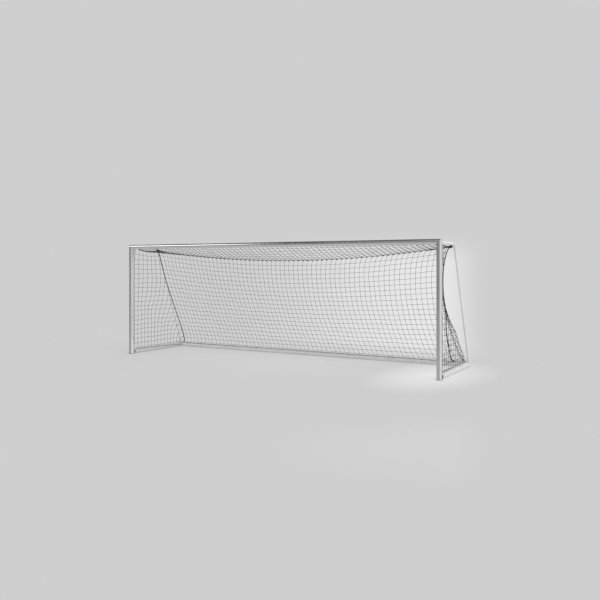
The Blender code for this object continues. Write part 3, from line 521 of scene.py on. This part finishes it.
MATERIALS = {
    "crossbar": drawn_aluminium("aluminium_along_x", 0),
    "post": drawn_aluminium("aluminium_along_z", 2),
    "rear_bar": drawn_aluminium("dusty_aluminium_along_x", 0, dust=0.75),
    # The left rail's dust grey is darker, painted shade, and the right rail's is paler, painted light; both
    # rails also carry real dust.
    "rail_left_painted_shade": drawn_aluminium("aluminium_y_dust_and_painted_shade", 1, dust=0.75, dust_and_light_grey=0.66),
    "rail_right_painted_light": drawn_aluminium("aluminium_y_dust_and_painted_light", 1, dust=0.75, dust_and_light_grey=0.88),
    "tube": painted_tube("white_powder_coat"),
    "casting": cast_aluminium("cast_aluminium"),
    "steel": zinc_steel("zinc_plated_steel"),
    "plastic": moulded_plastic("black_moulded_plastic", *BLACK_PLASTIC),
    "grey_plastic": moulded_plastic("grey_moulded_plastic", *GREY_PLASTIC),
    "rope": twisted_fibre("laid_rope_fibre", ROPE_LAY, ROPE_STRANDS, *BLACK_ROPE),
    "worn_rope": twisted_fibre("worn_rope_fibre", ROPE_LAY, ROPE_STRANDS, *WORN_ROPE),
    "net": twisted_fibre("net_cord_fibre", CORD_LAY, CORD_STRANDS, *BLACK_CORD),
}

# Finish of each CAD node, from the first of these words that its name holds
NODE_FINISHES = (
    ("hook_strip", "grey_plastic"),
    ("left_side_rail", "rail_left_painted_shade"),
    ("right_side_rail", "rail_right_painted_light"),
    ("screw", "steel"),
    ("bolt", "steel"),
    ("connector", "casting"),
    ("flange", "casting"),
    ("shoe", "casting"),
    ("net_hanger", "casting"),
    ("post_foot", "plastic"),
    ("net_bracket", "tube"),
    ("crossbar", "crossbar"),
    ("rear_ground_bar", "rear_bar"),
    ("post", "post"),
    ("rope", "rope"),
    ("net", "net"),
)


def finish_nodes():
    for name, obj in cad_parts.items():
        finish = next(finish for word, finish in NODE_FINISHES if word in name)
        obj.data.materials.clear()
        obj.data.materials.append(MATERIALS[finish])


# Cords as tubes

def as_array(points):
    return np.array([tuple(p) for p in points], float)


def lengths_along(line):
    return np.concatenate([[0.0], np.cumsum(np.linalg.norm(np.diff(line, axis=0), axis=1))])


def points_at(line, lengths):
    """The points of a line at these lengths from its start."""
    along = lengths_along(line)
    return np.stack([np.interp(lengths, along, line[:, k]) for k in range(3)], axis=1)


def frames_along(line):
    """Two unit vectors square to a line at each of its points."""
    tangents = np.gradient(line, axis=0)
    tangents /= np.linalg.norm(tangents, axis=1)[:, None]
    guide = np.zeros(3)
    guide[int(np.abs(tangents).mean(0).argmin())] = 1.0
    across = np.cross(tangents, guide)
    across /= np.linalg.norm(across, axis=1)[:, None]
    return across, np.cross(tangents, across)


def wound(line, reaches, pitch, turn=0.0):
    """A line that winds round another one, from one reach at its start to another at its end."""
    line = as_array(line)
    length = lengths_along(line)[-1]
    count = max(int(COIL_POINTS * length / pitch), COIL_POINTS)
    lengths = np.linspace(0, length, count + 1)
    centre = points_at(line, lengths)
    across, up = frames_along(centre)
    angle = (2 * pi * lengths / pitch + turn)[:, None]
    return centre + np.linspace(*reaches, count + 1)[:, None] * (np.cos(angle) * across + np.sin(angle) * up)


def rings_along(line, radius, sides):
    """Ring points round a line of points, as an array (points, sides, 3)."""
    across, up = frames_along(line)
    angles = (2 * pi * np.arange(sides) / sides)[None, :, None]
    offset = np.cos(angles) * across[:, None, :] + np.sin(angles) * up[:, None, :]
    return line[:, None, :] + offset * radius


class Cords:
    """Collects tubes and knots, then makes one mesh object of them."""

    def __init__(self):
        self.points, self.faces, self.uvs = [], [], []
        self.count = 0

    def tube(self, line, radius, sides=CORD_SIDES):
        line = as_array(line)
        along = lengths_along(line)
        base = self.count
        for i in range(len(line) - 1):
            low, high = base + i * sides, base + (i + 1) * sides
            for j in range(sides):
                k = (j + 1) % sides
                self.faces.append((low + j, low + k, high + k, high + j))
                one, other = j / sides, (j + 1) / sides
                self.uvs += [(along[i], one), (along[i], other), (along[i + 1], other), (along[i + 1], one)]
        last = base + (len(line) - 1) * sides
        self.faces.append(tuple(reversed(range(base, base + sides))))
        self.faces.append(tuple(range(last, last + sides)))
        self.uvs += [(0.0, j / sides) for j in reversed(range(sides))]
        self.uvs += [(along[-1], j / sides) for j in range(sides)]
        self.points.append(rings_along(line, radius, sides).reshape(-1, 3))
        self.count += len(line) * sides

    def knot(self, centre):
        base = self.count
        self.points.append(KNOT_POINTS + np.array(centre))
        for face in KNOT_FACES:
            self.faces.append(tuple(base + i for i in face))
            self.uvs += [tuple(KNOT_POINTS[i][:2]) for i in face]
        self.count += len(KNOT_POINTS)

    def build(self, name, material, slot):
        mesh = bpy.data.meshes.new(name)
        mesh.from_pydata(np.concatenate(self.points).tolist(), [], self.faces)
        layer = mesh.uv_layers.new(name="along")
        layer.data.foreach_set("uv", np.array(self.uvs, np.float32).ravel())
        mesh.materials.append(material)
        mesh.shade_smooth()
        return piece(name, mesh)


def knot_shape():
    """A small rounded lump, as points and faces."""
    bm = bmesh.new()
    bmesh.ops.create_icosphere(bm, subdivisions=1, radius=1.0)
    points = np.array([tuple(v.co) for v in bm.verts]) * KNOT_RADIUS
    faces = [tuple(v.index for v in f.verts) for f in bm.faces]
    bm.free()
    return points, faces


KNOT_POINTS, KNOT_FACES = knot_shape()


def piece(name, data):
    """A new piece of the goal that rides with it."""
    obj = bpy.data.objects.new(name, data)
    bpy.context.scene.collection.objects.link(obj)
    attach(obj, "root")
    return obj


# Ropes

def length_of(points):
    return sum((b - a).length for a, b in zip(points, points[1:]))


def sampled(route, step):
    """Points of a route, about a step apart, from its start to its end."""
    rough = [route(i / ROUTE_CHECKS) for i in range(ROUTE_CHECKS + 1)]
    number = max(int(round(length_of(rough) / step)), 4)
    return [route(i / number) for i in range(number + 1)]


def trimmed(points, start, end):
    """The points with both ends drawn back along the line."""
    first = points[0] + (points[1] - points[0]).normalized() * start
    last = points[-1] + (points[-2] - points[-1]).normalized() * end
    return [first] + points[1:-1] + [last]


def rope(name, node, route, radius, start, end, finish="rope"):
    points = trimmed(sampled(route, ROPE_STEP), start, end)
    cords = Cords()
    cords.tube(points, radius, ROPE_SIDES)
    obj = cords.build(name, MATERIALS[finish], "rope")
    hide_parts(node)
    tuple(points[0])
    round(length_of(points), 3)
    [tuple(p) for p in points]


def build_ropes():
    knob = HANGER_KNOB + GAP
    rope("rear_top_rope_laid", "rear_top_rope", rear_rope, ROPE_RADIUS, knob, knob,
         "worn_rope")
    rope("rear_bar_rope_laid", "rear_bar_rope", rear_bar_rope, ROPE_RADIUS, 0, 0,
         "worn_rope")
    for word, side in SIDES:
        rope(f"{word}_corner_rope_laid", f"{word}_corner_rope", lambda t: corner_rope(side, t),
             ROPE_RADIUS, knob, LUG_KNOB + GAP)
        rope(f"{word}_side_rope_laid", f"{word}_side_rope", lambda t: side_rope(side, t),
             SIDE_ROPE_RADIUS, GAP, knob)
        rope(f"{word}_rail_rope_laid", f"{word}_rail_rope", lambda t: rail_rope(side, t),
             ROPE_RADIUS, 0, 0, "worn_rope" if side < 0 else "rope")


# Places on the top and the back net, whose columns run from a = 0 at the left to a = 1 at the right

def scallop(a):
    """Sag of an edge that hangs on hooks, 0 at each hook, which is midway between two columns."""
    phase = a * COLUMNS / HOOKED_MESHES
    return SCALLOP * (1 + cos(2 * pi * phase)) / 2


def top_place(a, b):
    """From the crossbar, b = 0, to the rear rope, b = 1."""
    span = HANGER_BACK - NET_FRONT
    x = (2 * a - 1) * TOP_HALF
    s = (1 + x / (TOP_HALF + NET_INSET)) / 2
    t = b * (1 - NET_INSET / span)
    front = at(x, NET_FRONT, BAR_Z - HOOK_SIDE)
    return front.lerp(rear_rope(s), t) - UP * (side_rope_hang(s, t) + scallop(a) * (1 - t))


def back_place(a, b):
    """From the rear rope, b = 0, down to the rear bar, b = 1."""
    height = ROPE_TOP - GROUND_HEIGHT
    top = NET_INSET / height
    t = top + b * (1 - top)
    ruled = corner_rope(-1, t).lerp(corner_rope(1, t), a)
    hang = rear_rope(a) - hanger_centre(-1).lerp(hanger_centre(1), a)
    foot = at((2 * a - 1) * FOOT_HALF, REAR_AXIS - HOOK_SIDE, NET_LOW)
    rise = foot - lug_centre(-1).lerp(lug_centre(1), a)
    ruled.x *= 1 - NET_INSET * (1 - t) / TOP_HALF
    return ruled + hang * (1 - t) + rise * t


def rope_over(a):
    """The rear rope's point where a column of the top and the back net hangs on it."""
    return rear_rope((1 + (2 * a - 1) * TOP_HALF / (TOP_HALF + NET_INSET)) / 2)


# Net

def ruffle(point, size, wave, seed):
    """A smooth shift of a net's knot, the same on each run."""
    return noise.noise_vector(point / wave + Vector((seed, 0, 0))) * size


def hold(value):
    """0 at either end of 0..1, 1 in the middle."""
    return min(1.0, HELD_PARTS * value, HELD_PARTS * (1 - value))


def panel(name, node, place, rows, radius, unrest, droop, seed, edges, hung, trim):
    """A net panel as cords along the lines of a grid, with a knot at each crossing and a doubled
    cord along some of its edges. The rear rope takes the place of the hung row's cord."""

    def shown(a, b):
        point = place(a, b)
        return point + ruffle(point, unrest * (hold(a) * hold(b)), PANEL_WAVE, seed)

    cords = Cords()
    for i in range(COLUMNS + 1):
        column = [shown(i / COLUMNS, j / rows / MESH_STEPS) for j in range(rows * MESH_STEPS + 1)]
        column.insert(0 if hung == 0 else len(column), rope_over(i / COLUMNS))
        cords.tube(column, radius)
    knotted = [j for j in range(rows + 1) if j != hung]
    for j in knotted:
        sag = droop if 0 < j < rows else 0.0
        cords.tube([shown(i / COLUMNS / MESH_STEPS, j / rows) - UP * (sag * (i % MESH_STEPS))
                    for i in range(COLUMNS * MESH_STEPS + 1)], radius)
    for i in range(COLUMNS + 1):
        for j in knotted:
            cords.knot(shown(i / COLUMNS, j / rows))
    for (a0, b0), (a1, b1) in edges:
        count = MESH_STEPS * (COLUMNS if a0 != a1 else rows)
        line = [place(a0 + (a1 - a0) * i / count, b0 + (b1 - b0) * i / count) for i in range(count + 1)]
        cords.tube(line, EDGE_RADIUS)
    trim(cords)
    obj = cords.build(name, MATERIALS["net"], "net_cord")
    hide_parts(node)


def bundle(route, shift):
    """Middle of a rope and the net's edges beside it."""
    return as_array(sampled(route, ROPE_STEP)) + np.array(shift) * BUNDLE_SHIFT


def lace(cords, route, shift, start, end, pitch):
    """Lacing round a bundle, between two setbacks from the rope's ends."""
    line = bundle(route, shift)
    length = lengths_along(line)[-1]
    count = int(length / ROPE_STEP)
    bound = points_at(line, np.linspace(start, length - end, count + 1))
    cords.tube(wound(bound, (LACING_REACH, LACING_REACH), pitch), LACING_RADIUS)


def hitch(cords, shift):
    """Wound stretches that tie the columns of meshes to the rear rope, between its wound ends."""
    line = bundle(rear_rope, shift)
    along = lengths_along(line)
    for i in range(COLUMNS + 1):
        place = np.interp(rope_over(i / COLUMNS).x, line[:, 0], along)
        if LEFT_WHIP_LENGTH < place < along[-1] - RIGHT_WHIP_LENGTH:
            bound = points_at(line, [place - HITCH_LENGTH / 2, place, place + HITCH_LENGTH / 2])
            cords.tube(wound(bound, (HITCH_REACH, HITCH_REACH), HITCH_PITCH), WHIP_RADIUS)


def whip(cords, route, shift, length, reaches):
    """Tight turns round a bundle, from the start of its route."""
    bound = points_at(bundle(route, shift), np.linspace(0, length, WHIP_POINTS))
    cords.tube(wound(bound, reaches, WHIP_PITCH), WHIP_RADIUS)


def lash(cords, centre, half, reach):
    """Crossing turns of cord round a knob."""
    for k, (axis, share) in enumerate(zip(AXES, LASHING_SHARES)):
        arm = axis * half * share
        cords.tube(wound([centre - arm, centre + arm], (reach, reach), WHIP_PITCH, k), WHIP_RADIUS)


def trim_top(cords):
    for _, side in SIDES:
        lace(cords, lambda t: side_rope(side, t), (-side, 0, -1), HOOK_SIDE, HANGER_KNOB,
             SIDE_LACING_PITCH)
    whip(cords, lambda t: side_rope(SLACK_SIDE, 1 - t), (0, 0, 0), SLACK_LENGTH, SLACK_REACHES)


def trim_back(cords):
    shift = (0, -1, -1)
    hitch(cords, shift)
    whip(cords, rear_rope, shift, LEFT_WHIP_LENGTH, LEFT_WHIP_REACHES)
    whip(cords, lambda s: rear_rope(1 - s), shift, RIGHT_WHIP_LENGTH, RIGHT_WHIP_REACHES)
    for _, side in SIDES:
        lace(cords, lambda t: corner_rope(side, t), (-side, -1, 0), HANGER_KNOB,
             CORNER_LACING_ENDS[side], CORNER_LACING_PITCH)
        lash(cords, hanger_centre(side), *HANGER_LASHING)
        lash(cords, lug_centre(side), *LUG_LASHING)


class SidePanel:
    """A side panel: plumb cords and level cords behind the post, cut along the corner rope."""

    def __init__(self, side):
        self.side = side
        self.high = ROPE_TOP - NET_INSET
        self.drop = ROPE_TOP - lug_centre(side).z

    def row_height(self, row):
        return NET_LOW + (self.high - NET_LOW) * row / SIDE_ROWS

    def rope_at(self, z):
        return corner_rope(self.side, min(max((ROPE_TOP - z) / self.drop, 0), 1))

    def rope_back(self, z):
        return self.rope_at(z).y - POST_Y - NET_INSET

    def place(self, back, z):
        reach = min(max((back - NET_FRONT) / (self.rope_back(z) - NET_FRONT), 0), 1)
        lift = (z - NET_LOW) / (ROPE_TOP - NET_LOW)
        turn = max((lift - SIDE_NET_TURN) / (1 - SIDE_NET_TURN), 0)
        start = HOOK_SIDE + (HANGER_INWARD - HOOK_SIDE) * turn
        end = POST_X - abs(self.rope_at(z).x)
        bend = 1 + SIDE_NET_FLAT * max(1 - lift, 0) ** SIDE_NET_FADE
        point = at(self.side * (POST_X - start - (end - start) * reach ** bend), back, z)
        low = self.row_height(SIDE_ROWS - LEANING_ROWS)
        if z > low:
            share = (z - low) / (self.high - low)
            t = min((back - DEPTH / 2) / (HANGER_BACK - DEPTH / 2), 1)
            point.z += (side_rope(self.side, t).z - NET_INSET - self.high) * share
        return point

    def shown(self, back, z):
        point = self.place(back, z)
        reach = (back - NET_FRONT) / (self.rope_back(z) - NET_FRONT)
        lift = (z - NET_LOW) / (self.high - NET_LOW)
        free = hold(min(max(reach, 0), 1)) * hold(min(max(lift, 0), 1))
        return point + ruffle(point, SIDE_UNREST * free, SIDE_WAVE, SIDE_SEED + self.side)

    def columns(self):
        backs = []
        back = NET_FRONT
        while back < self.rope_back(NET_LOW):
            backs.append(back)
            back += SIDE_MESH
        return backs

    def top_of(self, back):
        """Height at which a plumb cord meets the corner rope or the side rope."""
        low, high = NET_LOW, self.high
        if self.rope_back(high) >= back:
            return high
        for _ in range(HALVINGS):
            mid = (low + high) / 2
            if self.rope_back(mid) >= back:
                low = mid
            else:
                high = mid
        return low

    def plumb(self, back):
        top = self.top_of(back)
        step = (self.high - NET_LOW) / SIDE_ROWS
        count = max(int(MESH_STEPS * (top - NET_LOW) / step), MESH_STEPS)
        return [self.shown(back, NET_LOW + (top - NET_LOW) * i / count) for i in range(count + 1)]

    def level(self, z):
        reach = self.rope_back(z) - NET_FRONT
        count = max(int(MESH_STEPS * reach / SIDE_MESH), MESH_STEPS)
        return [self.shown(NET_FRONT + reach * i / count, z) for i in range(count + 1)]

    def fold(self, cords):
        line = [self.rope_at(FOLD_TOP)]
        line += [at(self.side * (POST_X - inward), back, z) for z, inward, back in FOLD]
        for strand in range(FOLD_STRANDS):
            turn = 2 * pi * strand / FOLD_STRANDS
            cords.tube(wound(line, (FOLD_REACH, FOLD_REACH), FOLD_PITCH, turn), EDGE_RADIUS)

    def build(self, name, node):
        cords = Cords()
        for back in self.columns():
            cords.tube(self.plumb(back), SIDE_CORD_RADIUS)
        for row in range(SIDE_ROWS + 1):
            z = self.row_height(row)
            cords.tube(self.level(z), SIDE_CORD_RADIUS)
            for back in self.columns():
                if back < self.rope_back(z):
                    cords.knot(self.shown(back, z))
        count = MESH_STEPS * SIDE_ROWS
        edge = [self.high + (NET_LOW - self.high) * i / count for i in range(count + 1)]
        cords.tube([self.shown(self.rope_back(z), z) for z in edge], EDGE_RADIUS)
        if self.side == FOLD_SIDE:
            self.fold(cords)
        obj = cords.build(name, MATERIALS["net"], "net_cord")
        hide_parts(node)


# Edges with a doubled cord, each as its two ends on the panel
FIRST_ROW = ((0, 0), (1, 0))
LEFT_COLUMN = ((0, 0), (0, 1))
RIGHT_COLUMN = ((1, 0), (1, 1))


def build_net():
    noise.seed_set(NOISE_SEED)
    panel("top_net_knotted", "top_net", top_place, TOP_ROWS, SIDE_CORD_RADIUS, TOP_UNREST, TOP_DROOP,
          TOP_SEED, (FIRST_ROW, LEFT_COLUMN, RIGHT_COLUMN), hung=TOP_ROWS, trim=trim_top)
    panel("back_net_knotted", "back_net", back_place, BACK_ROWS, CORD_RADIUS, BACK_UNREST, BACK_DROOP,
          BACK_SEED, (LEFT_COLUMN, RIGHT_COLUMN), hung=0, trim=trim_back)
    for word, side in SIDES:
        SidePanel(side).build(f"{word}_side_net_knotted", f"{word}_side_net")


# Camera, floor and light

def build_camera():
    data = bpy.data.cameras.new("camera")
    data.lens = CAMERA_LENS
    data.sensor_width = CAMERA_SENSOR
    data.shift_y = CAMERA_SHIFT_Y
    data.clip_end = CAMERA_REACH
    camera = bpy.data.objects.new("camera", data)
    camera.location = CAMERA_PLACE
    camera.rotation_euler = (pi / 2, 0, CAMERA_YAW)
    bpy.context.scene.collection.objects.link(camera)
    bpy.context.scene.camera = camera


def build_floor():
    bm = bmesh.new()
    bmesh.ops.create_circle(bm, cap_ends=True, segments=FLOOR_SIDES, radius=FLOOR_RADIUS)
    mesh = bpy.data.meshes.new("floor")
    bm.to_mesh(mesh)
    bm.free()
    mesh.materials.append(floor_finish("studio_floor"))
    floor = bpy.data.objects.new("floor", mesh)
    bpy.context.scene.collection.objects.link(floor)


def build_sun():
    data = bpy.data.lights.new("soft_sun", "SUN")
    data.angle = SUN_ANGLE
    data.energy = (1 - WORLD_SHARE) * pi / cos(SUN_TILT)
    sun = bpy.data.objects.new("soft_sun", data)
    sun.rotation_euler = (SUN_TILT, 0, SUN_TURN)
    bpy.context.scene.collection.objects.link(sun)


class Limit(NamedTuple):
    """A soft limit of a field in the studio: there is none of it where the cosine of the angle from a
    direction is outer, and all of it where that is inner. Heights are first stretched by flatness."""

    direction: Sequence
    outer: float
    inner: float
    flatness: float = 1.0


# Dark fields that metal mirrors, as the share that each takes from the backdrop and its limits
DARK_FIELDS = (
    # Broad fields to the left and in front, for the posts
    (0.54, [Limit((-0.78, -0.62, 0.20), 0.42, 0.85, 5.0)]),
    (0.25, [Limit((0.35, -0.93, -0.05), 0.75, 0.97)]),
    # Broad fields overhead, for the crossbar's rounded top
    (0.35, [Limit((-0.50, 0.45, 0.72), 0.62, 0.85)]),
    (0.35, [Limit((-0.45, -0.35, 0.80), 0.72, 0.92)]),
    # Bands overhead, for the dark lines along the left, the middle and the right of the crossbar
    (0.92, [Limit(LEFT, 0.53, 0.63), Limit(LEFT, 0.690, 0.672), Limit(UP, 0.35, 0.60)]),
    (0.85, [Limit(LEFT, 0.41, 0.47), Limit(LEFT, 0.585, 0.545), Limit(UP, 0.05, 0.20),
            Limit(UP, 0.92, 0.75)]),
    (0.70, [Limit(LEFT, 0.27, 0.33), Limit(LEFT, 0.45, 0.41), Limit(UP, 0.35, 0.62)]),
)

# Bright fields that metal mirrors, as the radiance that each adds and its limits
BRIGHT_FIELDS = (
    # To the right, for the posts' right flanks
    (0.20, [Limit((0.98, -0.05, 0.00), 0.10, 0.70)]),
    (0.20, [Limit((0.98, -0.10, 0.00), 0.88, 0.99)]),
    # A small one to the left in front, for the bright line along the crossbar
    (2.20, [Limit((-0.67, -0.68, 0.32), 0.9850, 0.9930)]),
)

# Soft glow that is seen on the backdrop behind the goal's right, and its limits
ACROSS = (cos(CAMERA_YAW), sin(CAMERA_YAW), 0)
AHEAD = (-sin(CAMERA_YAW), cos(CAMERA_YAW), 0)
GLOW = 0.18
GLOW_LIMITS = (
    Limit(ACROSS, -0.130, 0.190),
    Limit(ACROSS, 0.268, 0.200),
    Limit(AHEAD, 0.50, 0.90),
    Limit(UP, 0.050, 0.000),
    Limit(-UP, 0.32, 0.13),
)


def build_world():
    world = bpy.data.worlds.new("studio")
    world.use_nodes = True
    bpy.context.scene.world = world
    graph = Graph(world.node_tree)
    graph.tree.nodes.clear()
    looking = graph.node("ShaderNodeTexCoord").outputs["Generated"]

    def background(strength):
        return graph.node("ShaderNodeBackground", Color=WHITE, Strength=strength).outputs[0]

    def share_within(limit):
        stretched = graph.vector_math("MULTIPLY", "Vector", looking, (1, 1, limit.flatness))
        unit = graph.vector_math("NORMALIZE", "Vector", stretched)
        direction = Vector(limit.direction).normalized()
        cosine = graph.vector_math("DOT_PRODUCT", "Value", unit, direction)
        ramp = graph.node("ShaderNodeMapRange")
        ramp.interpolation_type = "SMOOTHSTEP"
        graph.fill(ramp, (cosine, limit.outer, limit.inner))
        return ramp.outputs[0]

    def field(level, limits):
        """A level within all of its limits, and nothing outside any of them."""
        for limit in limits:
            level = graph.math("MULTIPLY", level, share_within(limit))
        return level

    level = BACKDROP
    for share, limits in DARK_FIELDS:
        level = graph.math("MULTIPLY", level, graph.math("SUBTRACT", 1.0, field(share, limits)))
    for more, limits in BRIGHT_FIELDS:
        level = graph.math("ADD", level, field(more, limits))
    glow = graph.math("ADD", BACKDROP, field(GLOW, GLOW_LIMITS))

    path = graph.node("ShaderNodeLightPath")
    lit = background(WORLD_SHARE)
    mirrored = graph.chosen(path.outputs["Is Glossy Ray"], lit, background(level))
    through = graph.chosen(path.outputs["Is Transmission Ray"], mirrored, background(BACKDROP))
    seen = graph.chosen(path.outputs["Is Camera Ray"], through, background(glow))
    graph.node("ShaderNodeOutputWorld", Surface=seen)


build_camera()
finish_nodes()
build_ropes()
build_net()
build_floor()
build_sun()
build_world()
bpy.context.scene.view_settings.view_transform = "Standard"
